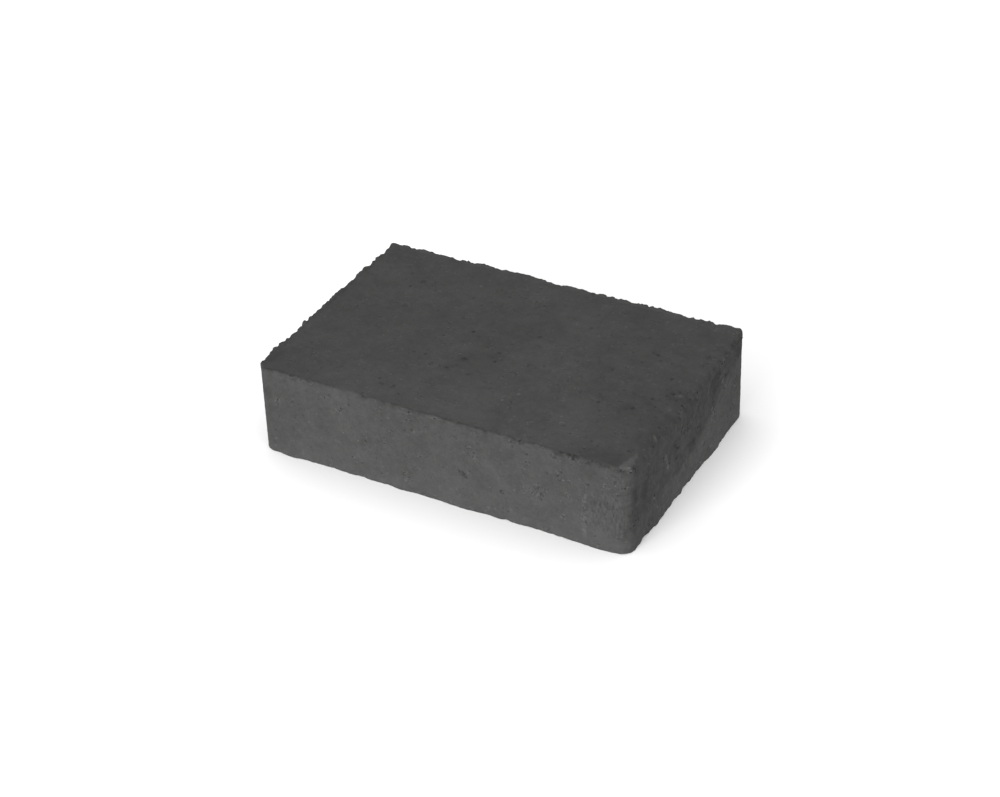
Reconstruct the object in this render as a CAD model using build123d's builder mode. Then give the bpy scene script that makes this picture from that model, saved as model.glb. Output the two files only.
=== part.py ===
from build123d import *
import os
from math import sqrt

# Concrete paving stone: one pressed slab of through-coloured concrete, lying on its bed face.
# The origin is the middle of the bed face, +X runs along the length, -Y is the front, +Z is up.
# Lengths are in millimetres.

# Slab
length = 209.0
width = 137.5
height = 50.0
corner_radius = 6.7
arris_radius = 0.8
bed_radius = 0.5

# Worn shoulder on the arris of the +X end, broadest near the front and fading out towards the back
end_wear_reach = 7.5
end_wear_drop = 9.0
# Place along the arris as a share of the width, then size as a share of the reach and the drop
end_wear_shares = (
    (-0.60, 0.35),
    (-0.40, 0.60),
    (-0.22, 1.00),
    (0.00, 0.75),
    (0.22, 0.35),
    (0.42, 0.08),
)

# Lighter wear that comes and goes along the front arris
front_wear_reach = 2.4
front_wear_drop = 3.0
# Place along the arris as a share of the length, then size as a share of the reach and the drop
front_wear_shares = (
    (-0.52, 0.20),
    (-0.38, 0.45),
    (-0.24, 0.90),
    (-0.12, 0.55),
    (0.02, 0.40),
    (0.12, 0.20),
    (0.24, 0.45),
    (0.31, 0.80),
    (0.36, 0.50),
    (0.42, 1.00),
    (0.52, 0.70),
)

# How round the wear is: 0 leaves a flat bevel, 1 leaves the arris as it was
wear_bulge_share = 0.42

# Knocked-off top corner at the front of the worn end
corner_spall_radius = 26.0
corner_spall_depth = 1.8

# How far a cutting shape stands out past the slab
overrun = 3.0

# Half sizes that place the wear on the slab
half_length = length / 2
half_width = width / 2


def cut_worn_arris(arris, arris_length, reach, drop, station_shares):
    """Lofts a cutter through sections across a top arris, and cuts it away.

    The arris plane has its x inwards, its y up and its normal along the arris.
    """
    crest_share = (1 - wear_bulge_share) / 2
    sections = []
    for place_share, size_share in station_shares:
        inner = reach * size_share
        lower = drop * size_share
        with BuildSketch(arris.offset(place_share * arris_length)) as section:
            with BuildLine():
                ThreePointArc((inner, 0), (inner * crest_share, -lower * crest_share), (0, -lower))
                Polyline(
                    (0, -lower), (-overrun, -lower), (-overrun, overrun), (inner, overrun), (inner, 0)
                )
            make_face()
        sections.append(section.sketch)
    loft(sections, ruled=True, mode=Mode.SUBTRACT)


with BuildPart() as paving_stone:
    # Slab with rounded upright corners and barely softened edges
    with BuildSketch():
        RectangleRounded(length, width, corner_radius)
    extrude(amount=height)
    fillet(paving_stone.faces().sort_by(Axis.Z)[-1].edges(), arris_radius)
    fillet(paving_stone.faces().sort_by(Axis.Z)[0].edges(), bed_radius)

    # Wear along the arris of the right-hand end, then along the front arris
    end_arris = Plane(origin=(half_length, 0, height), x_dir=(-1, 0, 0), z_dir=(0, 1, 0))
    cut_worn_arris(end_arris, width, end_wear_reach, end_wear_drop, end_wear_shares)
    front_arris = Plane(origin=(0, -half_width, height), x_dir=(0, 1, 0), z_dir=(1, 0, 0))
    cut_worn_arris(front_arris, length, front_wear_reach, front_wear_drop, front_wear_shares)

    # Knocked-off corner: a ball that bites along the corner's own diagonal
    corner_inset = corner_radius * (1 - 1 / sqrt(2))
    stand_off = (corner_spall_radius - corner_spall_depth) / sqrt(3)
    with Locations(
        (
            half_length - corner_inset + stand_off,
            -half_width + corner_inset - stand_off,
            height + stand_off,
        )
    ):
        Sphere(corner_spall_radius, mode=Mode.SUBTRACT)

paving_stone.part.label = "paving_stone"

os.makedirs("parts", exist_ok=True)
export_step(paving_stone.part, "parts/paving_stone.step")
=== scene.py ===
import math

import bpy
from mathutils import Matrix, Vector, noise
from mathutils.kdtree import KDTree


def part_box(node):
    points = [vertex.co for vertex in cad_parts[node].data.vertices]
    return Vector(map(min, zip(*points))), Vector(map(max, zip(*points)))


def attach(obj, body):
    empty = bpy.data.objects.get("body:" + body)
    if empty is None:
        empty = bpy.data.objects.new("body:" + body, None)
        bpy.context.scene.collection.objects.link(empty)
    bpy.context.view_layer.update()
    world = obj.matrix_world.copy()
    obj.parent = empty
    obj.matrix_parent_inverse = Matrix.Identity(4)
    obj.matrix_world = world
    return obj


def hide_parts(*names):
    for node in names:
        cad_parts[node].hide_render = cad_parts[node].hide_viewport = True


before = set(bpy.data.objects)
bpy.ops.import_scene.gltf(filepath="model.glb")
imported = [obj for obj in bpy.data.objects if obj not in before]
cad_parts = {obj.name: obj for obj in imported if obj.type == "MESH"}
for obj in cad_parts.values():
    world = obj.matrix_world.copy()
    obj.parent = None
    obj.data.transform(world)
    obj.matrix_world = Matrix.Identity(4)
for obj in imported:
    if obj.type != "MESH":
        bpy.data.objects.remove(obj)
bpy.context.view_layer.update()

# A concrete paving stone: one pressed slab with ragged top arrises, a worn end and a pitted skin.
# Blender's lengths are in metres, and the sizes below are written in millimetres.
MM = 0.001

low_corner, high_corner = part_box("paving_stone")
LENGTH, WIDTH, HEIGHT = (size / MM for size in high_corner - low_corner)
END_X = LENGTH / 2
SIDE_Y = WIDTH / 2

# The camera: its angles round the stone, its distance, and the stone's place off the picture's middle
VIEW_AZIMUTH = math.radians(29.447)
VIEW_ELEVATION = math.radians(33.941)
VIEW_ROLL = math.radians(2.037)
VIEW_DISTANCE = 1184.7
MIDDLE_TO_RIGHT = 1.96
MIDDLE_TO_BOTTOM = -4.53
PICTURE_WIDTH = 1000
FOCAL_LENGTH_IN_PIXELS = 2308.8
SENSOR_WIDTH = 36.0

# The studio
FLOOR_SIZE = 12000.0
FLOOR_GREY = 0.90
FLOOR_ROUGHNESS = 0.9
WHITE = (1.0, 1.0, 1.0, 1.0)
DOME_STRENGTH = 1.2
KEY_AZIMUTH = math.radians(-8.0)
KEY_ELEVATION = math.radians(11.0)
KEY_DISTANCE = 3000.0
KEY_SIZE = 1300.0
KEY_POWER = 102.0

# The mesh: facets along each edge of the block, cut in passes, and how far they crowd to the edges
LENGTH_PASSES = (48, 6)
WIDTH_PASSES = (38, 5)
HEIGHT_PASSES = (42,)
CROWDING = 0.42

# How far down a face of the bed points
BED_NORMAL = -0.9

# The sharpest fold that is shaded smooth
SMOOTH_ANGLE = math.radians(60)

# How far the relief may stand outside the CAD solid's box
MOST_PROUD = 0.8

# The middle of the values that a noise gives
NOISE_MIDDLE = 0.5

# The sockets of a Mix node that mixes colours
MIX_FACTOR = 0
MIX_FIRST = 6
MIX_SECOND = 7
MIX_RESULT = 2


class Wire:
    """A value in a material's node tree. Arithmetic on it adds Math nodes."""

    def __init__(self, finish, socket):
        self.finish = finish
        self.socket = socket

    def __add__(self, other):
        return self.finish.math("ADD", self, other)

    def __sub__(self, other):
        return self.finish.math("SUBTRACT", self, other)

    def __rsub__(self, other):
        return self.finish.math("SUBTRACT", other, self)

    def __mul__(self, other):
        return self.finish.math("MULTIPLY", self, other)

    __radd__ = __add__
    __rmul__ = __mul__


class Finish:
    """A material under construction, in millimetres of the piece's own Object coordinates."""

    def __init__(self, name):
        self.material = bpy.data.materials.new(name)
        self.material.use_nodes = True
        self.tree = self.material.node_tree
        self.shader = self.tree.nodes["Principled BSDF"]

    def node(self, kind, settings=None, sockets=None, output=0):
        """Adds a node: its settings first, then the values or links of its sockets."""
        node = self.tree.nodes.new(kind)
        for name, setting in (settings or {}).items():
            setattr(node, name, setting)
        for key, value in (sockets or {}).items():
            self.plug(node.inputs[key], value)
        return Wire(self, node.outputs[output])

    def plug(self, socket, value):
        """Links a value to a socket, or sets the socket to a number or colour."""
        if isinstance(value, Wire):
            self.tree.links.new(value.socket, socket)
        else:
            socket.default_value = value

    def set(self, **sockets):
        """Plugs values into the shader, by its sockets' names with _ for a space."""
        for name, value in sockets.items():
            self.plug(self.shader.inputs[name.replace("_", " ")], value)

    def math(self, operation, *values):
        """Adds a Math node."""
        return self.node("ShaderNodeMath", {"operation": operation}, dict(enumerate(values)))

    def larger(self, one, other):
        """The larger of two values."""
        return self.math("MAXIMUM", one, other)

    def fade(self, value, start, end):
        """Goes smoothly from 0 at the start to 1 at the end."""
        sockets = {"Value": value, "From Min": start, "From Max": end}
        return self.node("ShaderNodeMapRange", {"interpolation_type": "SMOOTHSTEP"}, sockets)

    def place(self):
        """The surface's own place, in millimetres."""
        coordinates = self.node("ShaderNodeTexCoord", output="Object")
        sockets = {0: coordinates, "Scale": 1 / MM}
        return self.node("ShaderNodeVectorMath", {"operation": "SCALE"}, sockets)

    def axes(self, place):
        """The three parts of a place."""
        return [self.node("ShaderNodeSeparateXYZ", None, {0: place}, output) for output in "XYZ"]

    def noise(self, place, size, detail=2.0, roughness=0.5, output=0):
        """Cloudy noise whose largest lumps are about the size given, from 0 to 1 around a half."""
        sockets = {"Vector": place, "Scale": 1 / size, "Detail": detail, "Roughness": roughness}
        return self.node("ShaderNodeTexNoise", None, sockets, output)

    def cells(self, place, size, output="Distance"):
        """Scattered points: how far off the nearest is, as a share of their spacing, or its colour."""
        return self.node("ShaderNodeTexVoronoi", None, {"Vector": place, "Scale": 1 / size}, output)

    def stretched(self, place, shares):
        """The same place with each axis drawn out or shortened."""
        return self.node("ShaderNodeVectorMath", {"operation": "MULTIPLY"}, {0: place, 1: shares})

    def wandering(self, place, reach, size):
        """The same place, strayed by noise, so that what is drawn there has an uneven edge."""
        stray = self.noise(place, size, output="Color")
        sockets = {0: stray, 1: (NOISE_MIDDLE, NOISE_MIDDLE, NOISE_MIDDLE)}
        centred = self.node("ShaderNodeVectorMath", {"operation": "SUBTRACT"}, sockets)
        sockets = {0: centred, "Scale": 2 * reach}
        scaled = self.node("ShaderNodeVectorMath", {"operation": "SCALE"}, sockets)
        return self.node("ShaderNodeVectorMath", {"operation": "ADD"}, {0: place, 1: scaled})

    def attribute(self, name):
        """The value that an attribute of the mesh has here."""
        return self.node("ShaderNodeAttribute", {"attribute_name": name}, None, "Fac")


# Marks on the three faces that the photograph shows: a place on its face, a radius and a strength
TOP_PITS = (
    ((-69, 40), 2.4, 1.0),
    ((-73, 33), 1.6, 0.8),
    ((-59, 35), 1.7, 0.8),
    ((-89, 26), 1.5, 0.6),
    ((-66, 15), 3.4, 0.6),
    ((-49, 25), 1.7, 0.7),
    ((-37, 37), 1.7, 0.8),
    ((-27, 50), 1.7, 0.6),
    ((-20, 46), 1.6, 0.8),
    ((-25, 14), 1.5, 0.6),
    ((-21, 8), 2.4, 1.0),
    ((-16, 5), 1.7, 0.7),
    ((-22, -4), 1.7, 0.7),
    ((1, -4), 2.4, 0.9),
    ((2.5, -12), 2.2, 0.9),
    ((-13, -16), 3.4, 0.9),
    ((-17, -27), 2.2, 0.9),
    ((-4.5, -28), 2.2, 0.9),
    ((-32.5, -21), 1.6, 0.9),
    ((-42.5, -50), 1.8, 0.9),
    ((-54, -15), 2.2, 0.5),
    ((-91, -37), 2.2, 0.6),
    ((15, 11), 4.0, 0.4),
    ((74, 29), 2.6, 0.8),
    ((40, 34), 1.8, 0.7),
    ((54, 31), 2.0, 0.6),
    ((48, 14), 1.8, 0.6),
    ((59, 7), 1.6, 0.9),
    ((27, -5), 1.9, 0.7),
    ((89, 12), 2.0, 0.7),
    ((97.5, 3), 1.6, 0.9),
    ((95, 0.5), 1.9, 1.0),
    ((93, -2.5), 1.5, 0.8),
    ((99, -4), 1.5, 0.8),
    ((96, -9), 1.4, 0.7),
    ((91, 3), 1.3, 0.7),
    ((92, -14), 1.6, 0.7),
    ((96, -21), 1.5, 0.8),
    ((90, -26), 1.4, 0.6),
    ((88, -8), 2.2, 0.9),
    ((63, -15), 2.0, 0.9),
    ((65, -22), 2.2, 0.8),
    ((69, -28), 1.8, 0.7),
    ((82.5, -19), 2.2, 0.9),
)
TOP_LIGHTS = (
    ((-39, 49), 1.8, 0.9),
    ((4, 53), 1.2, 0.7),
    ((-10, 6), 1.2, 1.0),
    ((57.5, -46), 2.6, 1.0),
    ((54.5, -41), 1.8, 0.7),
    ((46.5, -20), 4.0, 0.35),
    ((47.8, -24), 4.0, 0.4),
    ((49, -28), 4.4, 0.45),
    ((27, -33), 1.9, 1.0),
    ((22, -41), 1.6, 0.9),
    ((12.5, -24), 1.4, 0.8),
    ((37.5, -11.5), 1.8, 0.6),
    ((46, 43), 2.4, 0.4),
    # Painted highlight on the chipped facet at the top's front corner by the end
    ((101.8, -48.5), 2.6, 0.5),
    ((100.6, -52.5), 2.8, 0.5),
    ((101.6, -55.5), 3.2, 0.6),
    ((100.2, -58.5), 3.4, 0.6),
    ((101.9, -60.5), 3.8, 0.7),
    ((99.8, -63), 3.6, 0.8),
    ((101.6, -64.5), 3.2, 0.8),
    ((99.2, -66.3), 2.8, 1.0),
)
FRONT_PITS = (
    ((13.5, 20.5), 2.6, 1.3),
    ((15.2, 19), 1.8, 1.2),
    ((11.8, 22), 1.1, 0.9),
    ((11.5, 17), 1.0, 0.8),
    ((18, 23.5), 1.2, 0.8),
    ((20, 25.5), 1.3, 0.8),
    ((35.5, 16.7), 1.9, 1.4),
    ((57.5, 22), 2.0, 1.4),
    ((57, 19.5), 1.6, 1.2),
    ((54, 17), 1.2, 0.9),
    ((60.5, 36), 1.3, 1.1),
    ((63.5, 35), 1.1, 0.8),
    ((23, 42), 2.2, 0.7),
    ((22.5, 37.5), 1.2, 0.9),
    ((10.5, 41.5), 1.5, 1.2),
    ((-41.5, 24), 1.8, 0.7),
    ((-38.5, 33), 1.1, 0.9),
    ((-35.5, 15), 1.1, 1.0),
    ((-50, 42.5), 1.8, 0.8),
    ((-66.5, 35), 1.2, 1.0),
    ((-78, 28), 1.5, 0.9),
    ((-83, 25), 1.2, 0.7),
    ((-96.5, 14), 1.1, 0.8),
    ((82.5, 36.5), 1.6, 1.0),
    ((90, 37), 1.5, 0.9),
    ((93, 27.5), 2.2, 0.8),
    ((96, 22), 1.3, 0.8),
)
FRONT_LIGHTS = (
    ((-80, 4.5), 4.0, 0.5),
    ((-18, 7), 5.5, 0.4),
    ((28, 5), 2.6, 0.6),
    ((-16, 35), 1.7, 0.6),
    ((49, 22), 1.6, 0.6),
    ((28.5, 14), 1.6, 0.6),
    ((68, 12.5), 1.8, 0.6),
    ((60, 25), 1.3, 0.7),
)
END_PITS = (
    ((-10, 37), 2.2, 1.0),
    ((31, 36), 3.0, 0.8),
    ((0, 21), 1.8, 1.0),
    ((6, 20), 2.2, 0.9),
    ((8, 25), 1.6, 0.7),
    ((-4, 12), 1.8, 0.7),
    ((-49.5, 26), 2.0, 0.9),
    ((-43, 9.5), 1.6, 1.1),
    ((-52, 41), 2.0, 0.7),
    ((-9, 39.5), 1.6, 0.9),
    ((5.5, 45.5), 1.6, 1.0),
)
END_LIGHTS = (
    ((-28.5, 33), 2.8, 1.0),
    ((-27, 29.5), 2.6, 0.8),
    ((-25.8, 26), 2.8, 1.0),
    ((39.4, 37), 2.6, 1.4),
    ((36.6, 41.5), 1.6, 1.3),
    ((19.7, 22.8), 2.6, 0.9),
    ((26.7, 27.6), 2.2, 1.0),
    ((25.2, 6), 1.8, 0.9),
    ((-8, 15.5), 2.0, 0.9),
    ((-38, 10), 2.4, 0.8),
    ((-49, 38), 1.8, 0.7),
)
# On the worn shoulder, between the top and the end, marks are placed by x, y and z.
SHOULDER_PITS = (
    ((102.4, -5, 48.2), 1.6, 1.1),
    ((103.1, -10.9, 47.5), 1.4, 1.0),
    ((103.5, -16.7, 46.4), 1.5, 1.0),
    ((103.3, 2.7, 47.7), 1.8, 1.1),
    ((102.9, -24, 47.1), 1.4, 0.9),
    ((100.4, -27.3, 48.7), 1.4, 0.8),
)
SHOULDER_LIGHTS = (
    ((102.3, -35.8, 47.6), 2.2, 1.4),
    ((101.2, -34.8, 48.6), 1.6, 1.1),
    ((98.7, 0.1, 49.9), 2.2, 0.8),
    ((99.3, -12.9, 49.8), 1.6, 0.8),
)


def on_top(marks):
    """Marks placed by x and y, on the top face."""
    return [(Vector((*place, HEIGHT)), radius, strength) for place, radius, strength in marks]


def on_front(marks):
    """Marks placed by x and z, on the front face."""
    return [(Vector((x, -SIDE_Y, z)), radius, strength) for (x, z), radius, strength in marks]


def on_end(marks):
    """Marks placed by y and z, on the worn end."""
    return [(Vector((END_X, y, z)), radius, strength) for (y, z), radius, strength in marks]


def on_shoulder(marks):
    """Marks placed by x, y and z."""
    return [(Vector(place), radius, strength) for place, radius, strength in marks]


PITS = on_top(TOP_PITS) + on_front(FRONT_PITS) + on_end(END_PITS)
PITS += on_shoulder(SHOULDER_PITS)
LIGHTS = on_top(TOP_LIGHTS) + on_front(FRONT_LIGHTS) + on_end(END_LIGHTS)
LIGHTS += on_shoulder(SHOULDER_LIGHTS)

# How deep a pit is pressed, as a share of its radius
PIT_DEPTH_SHARE = 0.12
PIT_HOLLOWS = [(centre, radius, PIT_DEPTH_SHARE * radius * share) for centre, radius, share in PITS]

# Broad soft dark patches, each a place on its face, a radius and a strength. Some are darker patches of
# the concrete; many are painted shade, in the hollows listed below, along the front's top arris and far
# upright edge, and on the end beside its front corner and at its upper back corner.
TOP_SHADES = (
    ((98, 0), 9.0, 1.0),
    ((-13, -15), 8.0, 0.8),
    ((0, -8), 8.0, 0.6),
    ((-17, -27), 6.0, 0.7),
    ((-62, 13), 6.0, 0.6),
    ((66, -19), 6.0, 0.8),
    ((80, -20), 7.0, 0.9),
    ((50, 24), 9.0, 0.4),
    ((-103, -58), 9.0, 0.9),
    ((-36.5, -13.5), 8.0, 0.5),
    ((-43, 29), 9.0, 0.5),
    ((21.5, 41), 8.0, 0.5),
    ((64.5, -46), 6.0, 0.5),
    ((-56, 49), 8.0, 0.4),
    ((6.5, -54), 7.0, 0.4),
)
FRONT_SHADES = (
    ((-14, 45), 7.0, 0.6),
    ((85, 43), 10.0, 0.7),
    ((40, 39), 8.0, 0.5),
    ((-43, 23), 6.0, 0.6),
    ((14, 20), 5.0, 0.7),
    ((20, 26), 5.0, 0.4),
    ((-66, 24), 6.0, 0.4),
    ((-86, 15), 9.0, 0.8),
    ((36, 17), 4.0, 0.5),
    ((88, 24), 8.0, 0.4),
    ((27, 19), 10.0, 0.6),
    ((13, 11), 8.0, 0.4),
    # Painted shade at the front's far upright edge and along its top arris
    ((-100, 36), 8.0, 0.7),
    ((-87, 46), 6.0, 0.5),
    ((-64, 46), 7.0, 0.5),
    ((-50, 46), 6.0, 0.5),
    ((80, 47), 6.0, 0.5),
    ((96, 13), 9.0, 0.4),
)
END_SHADES = (
    # Painted shadow in the chip at the top of the end
    ((29, 38), 8.0, 1.3),
    ((33, 43), 6.5, 1.2),
    ((15, 40), 9.0, 0.7),
    ((-16, 30), 7.0, 0.6),
    ((4, 21), 5.0, 0.8),
    ((-52, 28), 9.0, 0.9),
    # Painted shade on the end just past its rounded front corner
    ((-63, 36), 6.0, 0.8),
    ((-63, 29), 6.0, 0.8),
    ((-63, 22), 6.0, 0.6),
    ((-63, 15), 6.0, 0.5),
    ((-63, 8), 5.0, 0.5),
    ((-1, 43), 8.0, 0.4),
    # Painted shade at the end's upper back corner
    ((52, 36), 9.0, 0.9),
    ((45, 29), 7.0, 0.5),
    ((-5, 11), 7.0, 0.6),
    ((19, 42), 6.0, 0.5),
)

# Broad soft changes of tone, given in the same way: pale where the strength is over 0, else dark. The
# dark patch at the end's upper back corner is painted shade, and the pale patch at the top's chipped
# front corner is a painted highlight.
TOP_PATCHES_AND_SHADE = (
    ((30, 2), 46.0, 0.45),
    ((39, 9), 11.0, 0.5),
    ((47.5, -24), 9.0, 0.7),
    ((20.5, -18), 7.0, 0.4),
    ((7.5, -34), 7.0, 0.5),
    ((26, -35), 7.0, 0.5),
    ((73, -3), 8.0, 0.4),
    ((-28, -29), 8.0, 0.4),
    ((-90, 23), 10.0, 0.4),
    # Painted highlight on the chipped front corner
    ((97.5, -60), 6.0, 0.4),
)
FRONT_PATCHES_AND_SHADE = (
    ((43, 33), 8.0, 0.5),
    ((-21, 5), 9.0, 0.7),
    ((-20, 38), 8.0, 0.6),
    ((62, 4), 8.0, 0.6),
    ((-54, 4), 7.0, 0.4),
    ((24, 20), 12.0, -0.4),
    ((-70, 40), 10.0, -0.4),
    ((-84, 27), 8.0, -0.5),
)
END_PATCHES_AND_SHADE = (
    ((-31, 27), 10.0, 0.8),
    ((-40, 22), 7.0, 0.4),
    # Painted shade at the end's upper back corner
    ((52, 36), 9.0, -0.4),
    ((-5, 10), 7.0, -0.5),
    ((-57, 33), 6.0, -0.3),
    ((60, 7), 6.0, -0.4),
)

# Broader hollows broken out of the skin: a place on its face, a radius and a depth
TOP_HOLLOWS = (
    ((96, -1), 5.0, 0.5),
    ((84, -20), 7.0, 0.4),
    ((-14, -16), 6.0, 0.3),
)
FRONT_HOLLOWS = (
    ((13.7, 20), 3.6, 0.7),
    ((-17, 44), 11.0, 0.5),
)
END_HOLLOWS = (
    ((29, 40), 8.0, 1.7),
    ((1, 21), 6.0, 1.0),
    ((-52, 29), 9.0, 0.7),
    ((-16, 33), 6.0, 0.7),
)
SHADES = on_top(TOP_SHADES) + on_front(FRONT_SHADES) + on_end(END_SHADES)
PATCHES_AND_SHADE = on_top(TOP_PATCHES_AND_SHADE) + on_front(FRONT_PATCHES_AND_SHADE) + on_end(END_PATCHES_AND_SHADE)
HOLLOWS = on_top(TOP_HOLLOWS) + on_front(FRONT_HOLLOWS) + on_end(END_HOLLOWS)

# Bulges of the foot, and dips where the height is under 0: a place on its face, a radius and a height
FRONT_BULGES = (
    ((88, 2), 13.0, 0.8),
    ((13, 2), 13.0, 0.8),
    ((-22, 2), 9.0, 0.4),
    ((-87, 2), 9.0, 0.7),
    ((52, 2), 12.0, -0.3),
    ((-64, 2), 14.0, -0.4),
)
END_BULGES = (
    ((30, 2), 11.0, 1.3),
    ((-35, 2), 17.0, 0.8),
    ((49, 2), 10.0, -0.6),
    ((13, 2), 8.0, -0.3),
)
BULGES = on_front(FRONT_BULGES) + on_end(END_BULGES)

# Fins and dips that the mould leaves along the top arris: where, how each is drawn, and its reach
FINS = (
    ((-103.0, -65.6), (-0.2, 0.2, 0.9), 3.6),
    ((-25.0, 68.3), (0.0, 0.2, 0.7), 9.0),
    ((-17.0, 68.3), (0.0, 0.2, 0.5), 7.0),
    ((-4.0, 68.3), (0.0, -0.2, -0.7), 7.0),
    ((-62.0, 68.3), (0.0, -0.2, -0.7), 9.0),
    ((64.0, 68.3), (0.0, 0.2, 0.5), 7.0),
    ((82.0, 68.3), (0.0, 0.2, 0.3), 7.0),
    ((95.0, 68.3), (0.0, 0.2, 0.5), 9.0),
    ((-104.0, -54.0), (-0.2, 0.0, 0.5), 6.0),
    ((-104.0, -46.0), (-0.2, 0.0, 0.5), 6.0),
    ((-104.0, -37.0), (0.1, 0.0, -0.3), 6.0),
    ((-104.0, -27.0), (0.1, 0.0, -0.6), 6.0),
    ((-104.0, 14.0), (0.1, 0.0, -0.3), 7.0),
    ((-104.0, 34.0), (-0.2, 0.0, 0.5), 6.0),
    ((-104.0, 42.0), (0.1, 0.0, -0.4), 5.0),
)
FIN_DEPTH = 3.2

# Burrs that fill out the two back corners, given in the same way
CORNER_BURRS = (
    ((-102.8, 66.6), (-1.9, 1.5, 0.6), 4.0),
    ((101.6, 66.9), (-0.4, 1.7, 0.7), 4.0),
)
CORNER_BURR_DEPTH = 18.0


def ease(value, start, end):
    """Goes smoothly from 0 at the start to 1 at the end."""
    share = min(max((value - start) / (end - start), 0), 1)
    return share * share * (3 - 2 * share)


def crowd(position, half):
    """Moves a place between two edges towards the nearer one."""
    share = position / half
    return half * ((1 - CROWDING) * share + CROWDING * math.sin(share * math.pi / 2))


def cut_edges(block, axis, pieces):
    """Cuts each edge that runs along one axis into equal pieces."""
    bpy.ops.object.mode_set(mode="EDIT")
    bpy.ops.mesh.select_mode(type="EDGE")
    bpy.ops.mesh.select_all(action="DESELECT")
    bpy.ops.object.mode_set(mode="OBJECT")
    vertices = block.data.vertices
    for edge in block.data.edges:
        run = vertices[edge.vertices[1]].co - vertices[edge.vertices[0]].co
        edge.select = abs(run[axis]) > run.length / 2
    bpy.ops.object.mode_set(mode="EDIT")
    bpy.ops.mesh.subdivide(number_cuts=pieces - 1)
    bpy.ops.object.mode_set(mode="OBJECT")


def merge_bed(block):
    """Makes one face of the many on the underside, which lies flat on the floor."""
    bpy.ops.object.mode_set(mode="EDIT")
    bpy.ops.mesh.select_mode(type="FACE")
    bpy.ops.mesh.select_all(action="DESELECT")
    bpy.ops.object.mode_set(mode="OBJECT")
    for face in block.data.polygons:
        face.select = face.normal.z < BED_NORMAL
    bpy.ops.object.mode_set(mode="EDIT")
    bpy.ops.mesh.dissolve_faces()
    bpy.ops.object.mode_set(mode="OBJECT")


def add_block():
    """A block of the stone's size, cut into small facets that lie on the CAD solid's own surface."""
    bpy.ops.object.select_all(action="DESELECT")
    middle = (low_corner + high_corner) / 2
    bpy.ops.mesh.primitive_cube_add(size=1, location=middle, scale=high_corner - low_corner)
    block = bpy.context.object
    block.name = "worn_stone"
    bpy.ops.object.transform_apply(location=True, rotation=True, scale=True)
    for axis, passes in enumerate((LENGTH_PASSES, WIDTH_PASSES, HEIGHT_PASSES)):
        for pieces in passes:
            cut_edges(block, axis, pieces)
    merge_bed(block)
    half = (high_corner - low_corner) / 2
    for vertex in block.data.vertices:
        offset = vertex.co - middle
        vertex.co = middle + Vector(crowd(offset[axis], half[axis]) for axis in range(3))
    wrap = block.modifiers.new("wrap", "SHRINKWRAP")
    wrap.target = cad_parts["paving_stone"]
    wrap.wrap_method = "NEAREST_SURFACEPOINT"
    bpy.ops.object.modifier_apply(modifier=wrap.name)
    return block


# Where the skin is ragged, worn or uneven. Each range goes from where that starts to where it is full.
SHOULDER_ALONG = (END_X - 14, END_X - 5)
SHOULDER_ACROSS = (66, 40)
ARRIS_BAND = (2.6, 0.3)
ARRIS_PATCH_SIZE = 13
ARRIS_MEAN = 0.85
ARRIS_SWING = 0.9
ARRIS_LEAST = 0.3
ARRIS_CORNER_REACH = 8
ARRIS_CORNER_LOSS = 0.7
BURR_ACROSS = (-SIDE_Y + 4, -SIDE_Y + 14)
CORNER_INSET = 3
FOOT_BAND = (3.0, 0.4)
FOOT_CORNER_REACH = 20
FOOT_CORNER_LOSS = 0.8
END_FOOT_BAND = (4.0, 0.4)
END_FOOT_ALONG = (END_X - 8, END_X - 2)
END_FOOT_CORNER_REACH = 24
SKIN_UP = (0.5, 4.0)
WORN_ALONG = (END_X - 16, END_X - 3)
WORN_ACROSS = (60, 40)
WORN_LEAST = 0.25


def depth_inside(place):
    """How far a place lies inside the block's four sides, in millimetres."""
    return min(END_X - abs(place.x), SIDE_Y - abs(place.y))


def corner_share(place, reach):
    """1 at the upright corners and 0 a reach away from them."""
    along = ease(abs(place.x), END_X - reach, END_X - CORNER_INSET)
    across = ease(abs(place.y), SIDE_Y - reach, SIDE_Y - CORNER_INSET)
    return along * across


def shoulder_weight(place):
    """1 on the worn shoulder of the end, 0 away from it."""
    return ease(place.x, *SHOULDER_ALONG) * ease(place.y, *SHOULDER_ACROSS)


def arris_weight(place):
    """1 along the top arris, where the mould leaves a ragged edge, and 0 a little way from it."""
    away = max(depth_inside(place), HEIGHT - place.z)
    patchy = ARRIS_MEAN + ARRIS_SWING * noise.noise(place / ARRIS_PATCH_SIZE)
    unevenness = min(max(patchy, ARRIS_LEAST), 1)
    off_corner = 1 - ARRIS_CORNER_LOSS * corner_share(place, ARRIS_CORNER_REACH)
    return ease(away, *ARRIS_BAND) * (1 - shoulder_weight(place)) * unevenness * off_corner


def burr_weight(place):
    """1 along the top arris of the back and the two ends, where the burr stands up."""
    return arris_weight(place) * ease(place.y, *BURR_ACROSS)


def foot_weight(place):
    """1 along the bottom edge and 0 a little way above it."""
    off_corner = 1 - FOOT_CORNER_LOSS * corner_share(place, FOOT_CORNER_REACH)
    return ease(place.z, *FOOT_BAND) * off_corner


def end_foot_weight(place):
    """1 along the bottom edge of the worn end."""
    off_corner = 1 - corner_share(place, END_FOOT_CORNER_REACH)
    return ease(place.z, *END_FOOT_BAND) * ease(place.x, *END_FOOT_ALONG) * off_corner


def skin_weight(place):
    """1 on the top and sides, 0 at the bottom edge."""
    return ease(place.z, *SKIN_UP)


def worn_weight(place):
    """1 on the worn end and its shoulder."""
    across = WORN_LEAST + (1 - WORN_LEAST) * ease(place.y, *WORN_ACROSS)
    return ease(place.x, *WORN_ALONG) * skin_weight(place) * across


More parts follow.
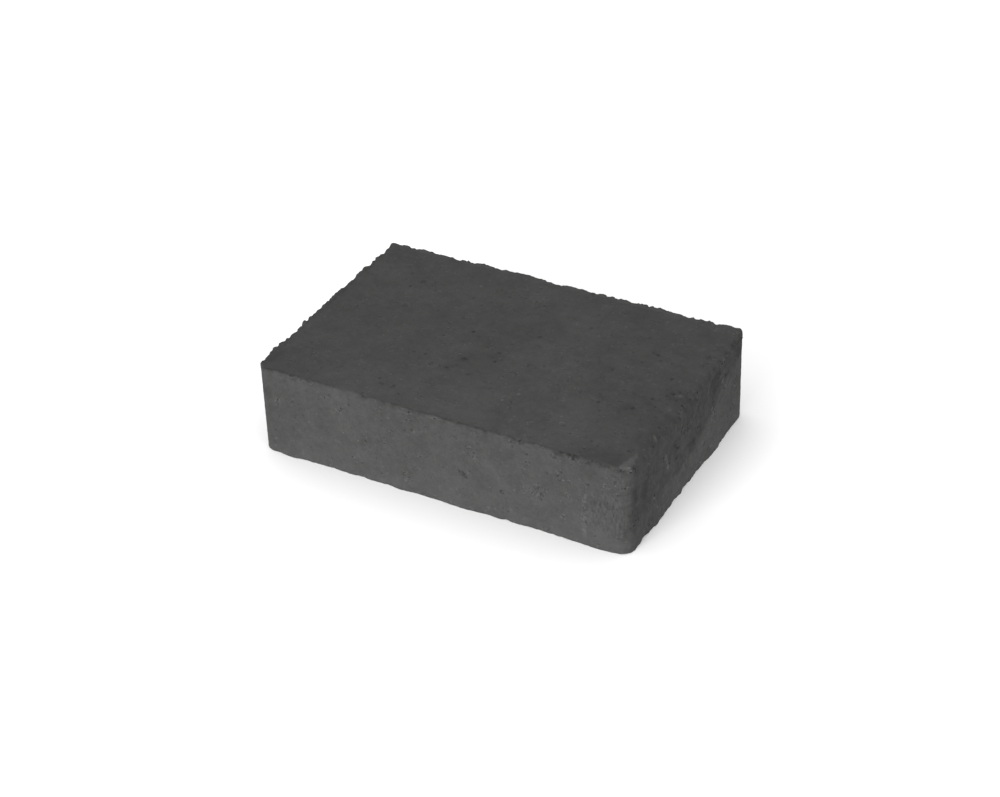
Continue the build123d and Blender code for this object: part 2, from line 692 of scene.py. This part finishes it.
# The vertex groups of the stone, and what weighs each
GROUPS = {
    "skin": skin_weight,
    "arris": arris_weight,
    "burr": burr_weight,
    "foot": foot_weight,
    "end_foot": end_foot_weight,
    "worn": worn_weight,
}


def weigh(block, name, weight_at):
    """Adds a vertex group whose weights depend on each vertex's place."""
    group = block.vertex_groups.new(name=name)
    for vertex in block.data.vertices:
        weight = weight_at(vertex.co / MM)
        if weight > 0:
            group.add([vertex.index], weight, "REPLACE")


def roughen(block, group, size, strength, level=0.5, depth=1, kind="SOFT_NOISE"):
    """Pushes the skin of one vertex group in and out by cloudy noise, with lumps of about a size."""
    texture = bpy.data.textures.new(group, "CLOUDS")
    texture.noise_scale = size * MM
    texture.noise_depth = depth
    texture.noise_type = kind
    displace = block.modifiers.new(group, "DISPLACE")
    displace.texture = texture
    displace.texture_coords = "LOCAL"
    displace.vertex_group = group
    displace.mid_level = level
    displace.strength = strength * MM
    bpy.ops.object.modifier_apply(modifier=displace.name)


def lift(block, group, height):
    """Pushes the skin of one vertex group straight out."""
    displace = block.modifiers.new(group, "DISPLACE")
    displace.vertex_group = group
    displace.mid_level = 0
    displace.strength = height * MM
    bpy.ops.object.modifier_apply(modifier=displace.name)


def find_vertices(block):
    """A search tree of the vertices' places, in millimetres."""
    tree = KDTree(len(block.data.vertices))
    for vertex in block.data.vertices:
        tree.insert(vertex.co / MM, vertex.index)
    tree.balance()
    return tree


def press(block, marks):
    """Presses round hollows into the skin, each given by its centre, its radius and its depth."""
    vertices = block.data.vertices
    tree = find_vertices(block)
    middle = Vector((0, 0, HEIGHT / 2))
    for centre, radius, depth in marks:
        offset = centre - middle
        shares = Vector((offset.x / END_X, offset.y / SIDE_Y, offset.z * 2 / HEIGHT))
        axis = max(range(3), key=lambda number: abs(shares[number]))
        inwards = Vector((0, 0, 0))
        inwards[axis] = -math.copysign(1, shares[axis])
        for _, index, away in tree.find_range(centre, radius):
            vertices[index].co += inwards * depth * ease(away, radius, 0) * MM


def paint(block, name, marks):
    """Adds marks up in an attribute of the mesh, each rising from 0 at its rim to its strength."""
    values = [0.0] * len(block.data.vertices)
    tree = find_vertices(block)
    for centre, radius, strength in marks:
        for _, index, away in tree.find_range(centre, radius):
            values[index] += strength * ease(away, radius, 0)
    attribute = block.data.attributes.new(name, "FLOAT", "POINT")
    attribute.data.foreach_set("value", values)


def raise_fins(block, fins, depth):
    """Draws places along the top arris out into fins or in into dips, which fade out at a depth."""
    for top, stand, reach in fins:
        tip = Vector((*top, HEIGHT))
        for vertex in block.data.vertices:
            offset = vertex.co / MM - tip
            share = ease(offset.xy.length, reach, 0) * ease(-offset.z, depth, 0)
            vertex.co += Vector(stand) * share * MM


def hold_in_box(block):
    """Keeps the skin on the floor and no more than a burr's height outside the CAD solid's box."""
    proud = MOST_PROUD * MM
    for vertex in block.data.vertices:
        for axis in range(3):
            limit = high_corner[axis] + proud
            vertex.co[axis] = min(max(vertex.co[axis], low_corner[axis] - proud), limit)
        vertex.co.z = max(vertex.co.z, low_corner.z)


def model_stone():
    """The stone with its relief: ragged arris, uneven foot, worn end, soft waves, grain and pits."""
    block = add_block()
    for name, weight_at in GROUPS.items():
        weigh(block, name, weight_at)
    roughen(block, "skin", size=42, strength=0.35)
    press(block, HOLLOWS + [(centre, radius, -height) for centre, radius, height in BULGES])
    raise_fins(block, FINS, FIN_DEPTH)
    raise_fins(block, CORNER_BURRS, CORNER_BURR_DEPTH)
    lift(block, "burr", height=0.45)
    roughen(block, "arris", size=11, strength=1.7, level=0.48)
    roughen(block, "arris", size=4.2, strength=-1.9, level=0.3, kind="HARD_NOISE")
    roughen(block, "arris", size=2.0, strength=1.3)
    roughen(block, "worn", size=9, strength=1.0)
    roughen(block, "worn", size=3.4, strength=0.3, depth=2)
    lift(block, "foot", height=0.2)
    roughen(block, "foot", size=10, strength=1.7)
    roughen(block, "foot", size=4, strength=1.3)
    roughen(block, "end_foot", size=6, strength=0.8, level=0.85)
    roughen(block, "end_foot", size=2.6, strength=0.6, level=0.55)
    roughen(block, "skin", size=2.6, strength=0.22, depth=2)
    press(block, PIT_HOLLOWS)
    hold_in_box(block)
    # Marks painted into attributes: dark pits with painted shade, pale grains with a painted highlight,
    # and broad patches, part of them painted shade
    for name, marks in (("pits", PITS), ("lights", LIGHTS), ("shades", SHADES), ("patches_and_shade", PATCHES_AND_SHADE)):
        paint(block, name, marks)
    bpy.ops.object.shade_smooth_by_angle(angle=SMOOTH_ANGLE)
    return block


# Concrete: its middle grey, its tint and its sheen
CONCRETE_GREY = 0.0425
CONCRETE_TINT = (1.0, 0.995, 0.985, 1.0)
CONCRETE_ROUGHNESS = 0.9
GRAIN_ROUGHNESS = 0.1
CONCRETE_SPECULAR = 0.1

# In the looks that follow, a range goes from where a look starts to where it is full.
# A value whose name ends in TONE is a share of the middle grey.

# Where the looks of the front and of the end start, at their edges
FRONT_EDGE = (-SIDE_Y + 2.5, -SIDE_Y + 0.8)
END_EDGE = (END_X - 3.0, END_X - 1.0)

# How far the outlines of marks stray, and the size of the noise that strays them
COARSE_STRAY = (1.5, 2.2)
FINE_STRAY = (0.8, 0.9)
DRIFT = (5.0, 14.0)

# Lumps of tone, from clouds down to sand: the size, detail and roughness of each noise
CLOUDS = (34, 2.0, 0.5)
BLOTCHES = (9, 3.0, 0.55)
MOTTLE = (3.6, 2.0, 0.6)
RAGGED = (2.2, 3.0, 0.6)
GRAIN = (1.3, 3.0, 0.65)
FLECKS = (1.1, 1.0, 0.5)
GRIT_PATCHES = (6.5, 1.5, 0.5)
GRIT_EDGE = (0.56, 0.68)
SAND_SIZE = 0.9
CLOUD_TONE = 0.42
BLOTCH_TONE = 0.38
MOTTLE_TONE = 0.30
GRAIN_TONE = 0.26
GRIT_TONE = 2.4
END_PATCH_GAIN = 0.5
FRONT_SPECKLE_GAIN = 0.6
END_SPECKLE_GAIN = 1.9

# Pores, by their spacing and their widest radius as a share of it, and pits; both are darkened with
# painted shade
WIDE_PORES = (6.5, 0.24)
FINE_PORES = (3.1, 0.13)
LEAST_PORE = 0.03
PORE_RIM = (0.02, -0.06)
PORE_CHANCE = (0.55, 0.65)
PORE_SHARE = 0.75
PIT_RIM = (0.15, 0.7)
PIT_RAGGEDNESS = 1.2
HOLLOW_SHADE_TONE = 0.29
HOLLOW_SHADE_FLECK_TONE = 1.6

# Bright specks of sand, larger pale grains, and a painted highlight on the chipped front corner of the
# top
SPECK_SPACING = 1.7
SPECK_RIM = (0.42, 0.20)
SPECK_CHANCE = (0.94, 0.965)
SPECK_SHARE = 0.8
LIGHT_RIM = (0.2, 0.7)
LIGHT_RAGGEDNESS = 0.9
LIGHT_GAIN = 0.6
LIGHT_LEAST = 0.75
LIGHT_TONE = 0.40

# The worn end: pale low down and higher up at the back, painted light on its shoulder at the top,
# painted shade along its back edge, and darker all over, partly for its rough skin and partly as
# painted shade
PALE_UP = (18, 12)
PALE_CLIMB = 24
PALE_CLIMB_ACROSS = (0, 58)
PALE_ACROSS = (-55, 0)
PALE_TONE = 0.30
PALE_LEAST_TONE = 0.10
LIT_SHOULDER_ACROSS = (8, -25)
LIT_SHOULDER_UP = (34, 42)
LIT_SHOULDER_TONE = 0.10
BACK_SHADE_ACROSS = (50, 62)
BACK_SHADE_UP = (10, 26)
BACK_SHADE_TONE = 0.12
END_FOOT_UP = (20, 0)
END_FOOT_TONE = 0.20
END_SKIN_AND_SHADE_TONE = 0.07

# The front: a paler foot, upright scratches from the mould beside a pale run, and a dark far edge
FRONT_FOOT_UP = (44, 4)
FRONT_FOOT_TONE = 0.14
FAR_EDGE_ALONG = (-82, -98)
FAR_EDGE_TONE = 0.08
SCRATCHES = (1.1, 2.0, 0.5)
SCRATCH_STRETCH = (1.0, 1.0, 0.35)
SCRATCH_MIDDLE = 0.54
SCRATCHED_ALONG = (75, 80)
SCRATCHED_FROM_TOP = (38, 30)
SCRATCHED_FROM_FOOT = (6, 14)
SCRATCH_TONE = 0.9
RUN_X = 80.5
RUN_STRAY = 0.3
RUN_BESIDE = (1.8, 0.5)
RUN_FROM_FOOT = (3, 7)
RUN_FROM_TOP = (37, 31)
RUN_BREAKS = (-0.06, 0.14)
RUN_TONE = 0.28

# The top: trodden pale towards the front, darker at the worn end and beside its front corner
TRODDEN_ACROSS = (5, -62)
TRODDEN_FROM_LEFT = (-90, 10)
TRODDEN_FROM_RIGHT = (100, 70)
TRODDEN_TONE = 0.12
WORN_TOP_ALONG = (END_X - 17, END_X - 10)
WORN_TOP_ACROSS = (12, 2)
WORN_TOP_TONE = 0.03
DARK_STRIP_FROM_LEFT = (72, 80)
DARK_STRIP_FROM_RIGHT = (100, 96)
DARK_STRIP_ACROSS = (-55, -61)
DARK_STRIP_TONE = 0.16

# The front arris: a broken line of painted shade that is stronger towards the worn end
ARRIS_SHADE_ACROSS = (-SIDE_Y + 2.4, -SIDE_Y + 0.7)
ARRIS_SHADE_UP = (HEIGHT - 3.0, HEIGHT - 1.0)
ARRIS_SHADE_BREAKS = (4, 2.0, 0.5)
ARRIS_SHADE_BREAK_EDGE = (0.44, 0.60)
ARRIS_SHADE_ALONG = (30, 75)
ARRIS_SHADE_TONE = 0.12
ARRIS_SHADE_WORN_TONE = 0.20

# Broad patches, some of them painted shade and painted highlight, and the pale rim of the foot
SHADE_EDGE = (0.0, 0.8)
SHADE_RAGGEDNESS = 0.6
SHADE_TONE = 0.13
PATCH_AND_SHADE_UNEVENNESS = 2
PATCH_AND_SHADE_TONE = 0.20
FOOT_RIM_UP = (8, 1)
FOOT_RIM_TONE = 0.08

# Relief too fine for the mesh: its strength, its depth, and how much each layer raises or lowers it
BUMP_STRENGTH = 0.6
BUMP_DEPTH = 0.45
GRAIN_RELIEF = 0.6
SAND_RELIEF = 0.25
MOTTLE_RELIEF = 0.5
BLOTCH_RELIEF = 0.3
HOLLOW_RELIEF = 0.5
LIGHT_RELIEF = 0.2


class Concrete(Finish):
    """Dark concrete under construction, with the places and the lumps of tone that its layers share."""

    def __init__(self):
        super().__init__("dark_concrete")
        self.spot = self.place()
        self.x, self.y, self.z = self.axes(self.spot)
        self.strayed = self.wandering(self.wandering(self.spot, *COARSE_STRAY), *FINE_STRAY)
        drifted = self.wandering(self.spot, *DRIFT)
        self.drift_x, self.drift_y, self.drift_z = self.axes(drifted)
        self.front = self.fade(self.y, *FRONT_EDGE)
        self.end = self.fade(self.x, *END_EDGE)
        self.blotches = self.lumps(drifted, BLOTCHES)
        self.mottle = self.lumps(self.strayed, MOTTLE)
        self.ragged = self.lumps(self.spot, RAGGED)
        self.grain = self.lumps(self.spot, GRAIN)
        self.sand = self.axes(self.cells(self.spot, SAND_SIZE, "Color"))[0] - NOISE_MIDDLE

    def lumps(self, place, kind):
        """Noise of one kind, over and under 0."""
        return self.noise(place, *kind) - NOISE_MIDDLE

    def pores(self, spacing, widest):
        """A mask of scattered small holes of all sizes, the widest as a share of their spacing."""
        size, chance, _ = self.axes(self.cells(self.strayed, spacing, "Color"))
        reach = size * size * widest + LEAST_PORE
        holes = self.fade(self.cells(self.strayed, spacing) - reach, *PORE_RIM)
        return holes * self.fade(chance, *PORE_CHANCE)

    def hollows(self):
        """A mask of the pores and the pits."""
        pores = self.larger(self.pores(*WIDE_PORES), self.pores(*FINE_PORES))
        pits = self.fade(self.attribute("pits") + self.ragged * PIT_RAGGEDNESS, *PIT_RIM)
        return self.larger(pores * PORE_SHARE, pits)

    def lights(self):
        """A mask of the bright specks, the larger pale grains and the painted highlight on the chipped
        front corner.
        """
        chance = self.axes(self.cells(self.spot, SPECK_SPACING, "Color"))[0]
        specks = self.fade(self.cells(self.spot, SPECK_SPACING), *SPECK_RIM)
        specks = specks * self.fade(chance, *SPECK_CHANCE)
        paleness = self.attribute("lights")
        grains = self.fade(paleness + self.ragged * LIGHT_RAGGEDNESS, *LIGHT_RIM)
        return self.larger(specks * SPECK_SHARE, grains * (paleness * LIGHT_GAIN + LIGHT_LEAST))

    def speckle_tone(self):
        """Clouds and blotches, and over them mottle, grain and patches of grit."""
        clouds = self.lumps(self.spot, CLOUDS)
        patches = clouds * CLOUD_TONE + self.blotches * BLOTCH_TONE
        patches = patches * (1 + self.end * END_PATCH_GAIN)
        gritty = self.fade(self.noise(self.spot, *GRIT_PATCHES), *GRIT_EDGE)
        grit = self.sand * self.sand * self.sand * gritty
        speckle = self.mottle * MOTTLE_TONE + self.grain * GRAIN_TONE + grit * GRIT_TONE
        gain = 1 + self.front * FRONT_SPECKLE_GAIN + self.end * END_SPECKLE_GAIN
        return patches + speckle * gain

    def end_tone(self):
        """The worn end's pale and dark parts: painted light on its shoulder, painted shade along its
        back edge, and a darkening of the whole end that is partly its rough skin and partly painted
        shade.
        """
        climb = self.fade(self.drift_y, *PALE_CLIMB_ACROSS) * PALE_CLIMB
        pale = self.fade(self.drift_y, *PALE_ACROSS) * PALE_TONE + PALE_LEAST_TONE
        pale = pale * self.fade(self.drift_z - climb, *PALE_UP)
        # Painted light on the shoulder, where it turns from the key light
        lit_shoulder = self.fade(self.drift_y, *LIT_SHOULDER_ACROSS) * self.fade(self.drift_z, *LIT_SHOULDER_UP)
        # Painted shade along the back edge, where the rounded corner turns from the light
        back_shade = self.fade(self.drift_y, *BACK_SHADE_ACROSS) * self.fade(self.z, *BACK_SHADE_UP)
        foot = self.fade(self.z, *END_FOOT_UP)
        paler = pale + lit_shoulder * LIT_SHOULDER_TONE + foot * END_FOOT_TONE
        # The whole end darker: partly its rough skin, partly painted shade
        return self.end * (paler - back_shade * BACK_SHADE_TONE - END_SKIN_AND_SHADE_TONE)

    def front_tone(self):
        """The front's paler foot, dark far edge, scratches and pale run."""
        foot = self.fade(self.drift_z, *FRONT_FOOT_UP)
        far_edge = self.fade(self.drift_x, *FAR_EDGE_ALONG)
        upright = self.stretched(self.spot, SCRATCH_STRETCH)
        scratches = self.noise(upright, *SCRATCHES) - SCRATCH_MIDDLE
        scratches = scratches * self.fade(self.x, *SCRATCHED_ALONG)
        scratches = scratches * self.fade(self.drift_z, *SCRATCHED_FROM_TOP)
        scratches = scratches * self.fade(self.drift_z, *SCRATCHED_FROM_FOOT)
        beside_run = self.drift_x * RUN_STRAY + self.x * (1 - RUN_STRAY) - RUN_X
        run = self.fade(self.math("ABSOLUTE", beside_run), *RUN_BESIDE)
        run = run * self.fade(self.z, *RUN_FROM_FOOT) * self.fade(self.drift_z, *RUN_FROM_TOP)
        run = run * self.fade(self.mottle + self.grain, *RUN_BREAKS)
        paler = foot * FRONT_FOOT_TONE + scratches * SCRATCH_TONE + run * RUN_TONE
        return self.front * (paler - far_edge * FAR_EDGE_TONE)

    def top_tone(self):
        """The top's trodden and worn parts, and its darker strip beside the front corner."""
        off_front = 1 - self.front
        off_end = 1 - self.end
        trodden = self.fade(self.drift_x, *TRODDEN_FROM_LEFT)
        trodden = trodden * self.fade(self.drift_x, *TRODDEN_FROM_RIGHT)
        trodden = trodden * self.fade(self.drift_y, *TRODDEN_ACROSS) * off_front * off_end
        worn = self.fade(self.drift_x, *WORN_TOP_ALONG)
        worn = worn * self.fade(self.drift_y, *WORN_TOP_ACROSS) * off_end
        dark_strip = self.fade(self.drift_x, *DARK_STRIP_FROM_LEFT)
        dark_strip = dark_strip * self.fade(self.drift_x, *DARK_STRIP_FROM_RIGHT)
        dark_strip = dark_strip * self.fade(self.drift_y, *DARK_STRIP_ACROSS) * off_front
        return trodden * TRODDEN_TONE - worn * WORN_TOP_TONE - dark_strip * DARK_STRIP_TONE

    def arris_shade_tone(self):
        """The broken line of painted shade along the front arris."""
        line = self.fade(self.y, *ARRIS_SHADE_ACROSS) * self.fade(self.z, *ARRIS_SHADE_UP)
        line = line * self.fade(self.noise(self.spot, *ARRIS_SHADE_BREAKS), *ARRIS_SHADE_BREAK_EDGE)
        return line * (self.fade(self.x, *ARRIS_SHADE_ALONG) * ARRIS_SHADE_WORN_TONE + ARRIS_SHADE_TONE)

    def patch_tone(self):
        """The broad patches, some of them painted shade and painted highlight, and the pale rim of the
        foot.
        """
        # Dark patches, partly painted shade in hollows and at edges
        shades = self.fade(self.attribute("shades") + self.blotches * SHADE_RAGGEDNESS, *SHADE_EDGE)
        # Pale and dark patches, a few of them painted shade and a painted highlight
        patches_and_shade = self.attribute("patches_and_shade") * (self.blotches * PATCH_AND_SHADE_UNEVENNESS + 1)
        foot_rim = self.fade(self.z, *FOOT_RIM_UP)
        return patches_and_shade * PATCH_AND_SHADE_TONE - shades * SHADE_TONE + foot_rim * FOOT_RIM_TONE


def concrete():
    """Dark through-coloured concrete: cloudy tone, sandy grain, pits, pale grains and worn places, with
    painted shade and painted highlight.
    """
    finish = Concrete()
    hollows = finish.hollows()
    lights = finish.lights()
    tone = 1 + finish.speckle_tone() + finish.end_tone() + finish.front_tone() + finish.top_tone()
    tone = tone + finish.patch_tone() - finish.arris_shade_tone()
    flecks = finish.lumps(finish.spot, FLECKS)
    # Painted shade in the pores and the pits
    tone = tone * (1 - hollows * (HOLLOW_SHADE_TONE - flecks * HOLLOW_SHADE_FLECK_TONE))
    tone = tone * (1 + lights * LIGHT_TONE)
    settings = {"data_type": "RGBA", "blend_type": "MULTIPLY"}
    sockets = {MIX_FACTOR: 1.0, MIX_FIRST: CONCRETE_TINT, MIX_SECOND: tone * CONCRETE_GREY}
    colour = finish.node("ShaderNodeMix", settings, sockets, MIX_RESULT)

    relief = finish.grain * GRAIN_RELIEF + finish.sand * SAND_RELIEF
    relief = relief + finish.mottle * MOTTLE_RELIEF + finish.blotches * BLOTCH_RELIEF
    relief = relief - hollows * HOLLOW_RELIEF + lights * LIGHT_RELIEF
    sockets = {"Height": relief, "Strength": BUMP_STRENGTH, "Distance": BUMP_DEPTH * MM}
    finish.set(Base_Color=colour, Normal=finish.node("ShaderNodeBump", None, sockets))
    finish.set(Roughness=finish.grain * GRAIN_ROUGHNESS + CONCRETE_ROUGHNESS)
    finish.set(Specular_IOR_Level=CONCRETE_SPECULAR)
    return finish.material


def add_floor():
    """A plain pale floor."""
    bpy.ops.object.select_all(action="DESELECT")
    bpy.ops.mesh.primitive_plane_add(size=FLOOR_SIZE * MM)
    floor = bpy.context.object
    floor.name = "floor"
    finish = Finish("pale_floor")
    finish.set(Base_Color=(FLOOR_GREY, FLOOR_GREY, FLOOR_GREY, 1.0))
    finish.set(Roughness=FLOOR_ROUGHNESS, Specular_IOR_Level=0.0)
    floor.data.materials.append(finish.material)


def direction(azimuth, elevation):
    """From the stone towards a place round it: 0 degrees is in front, 90 degrees off the worn end."""
    level = math.cos(elevation)
    return Vector((math.sin(azimuth) * level, -math.cos(azimuth) * level, math.sin(elevation)))


def add_light():
    """Even light from all round, and a broad soft key light from the front."""
    world = bpy.data.worlds.new("studio")
    world.use_nodes = True
    background = world.node_tree.nodes["Background"]
    background.inputs["Color"].default_value = WHITE
    background.inputs["Strength"].default_value = DOME_STRENGTH
    bpy.context.scene.world = world
    towards = direction(KEY_AZIMUTH, KEY_ELEVATION)
    turn = towards.to_track_quat("Z", "Y").to_euler()
    bpy.ops.object.light_add(type="AREA", location=towards * KEY_DISTANCE * MM, rotation=turn)
    key = bpy.context.object.data
    key.size = KEY_SIZE * MM
    key.energy = KEY_POWER


def add_camera():
    """The photograph's camera."""
    back = direction(VIEW_AZIMUTH, VIEW_ELEVATION)
    level_right = Vector((0, 0, 1)).cross(back).normalized()
    level_down = level_right.cross(back)
    right = level_right * math.cos(VIEW_ROLL) + level_down * math.sin(VIEW_ROLL)
    down = level_down * math.cos(VIEW_ROLL) - level_right * math.sin(VIEW_ROLL)
    middle = (low_corner + high_corner) / 2
    place = middle + (back * VIEW_DISTANCE - right * MIDDLE_TO_RIGHT - down * MIDDLE_TO_BOTTOM) * MM
    bpy.ops.object.camera_add()
    camera = bpy.context.object
    turn = Matrix((right, -down, back)).transposed().to_4x4()
    camera.matrix_world = Matrix.Translation(place) @ turn
    camera.data.sensor_width = SENSOR_WIDTH
    camera.data.lens = FOCAL_LENGTH_IN_PIXELS / PICTURE_WIDTH * SENSOR_WIDTH
    bpy.context.scene.camera = camera


stone = model_stone()
stone.data.materials.append(concrete())
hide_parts("paving_stone")
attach(stone, "root")
add_floor()
add_light()
add_camera()
bpy.context.scene.view_settings.view_transform = "Standard"
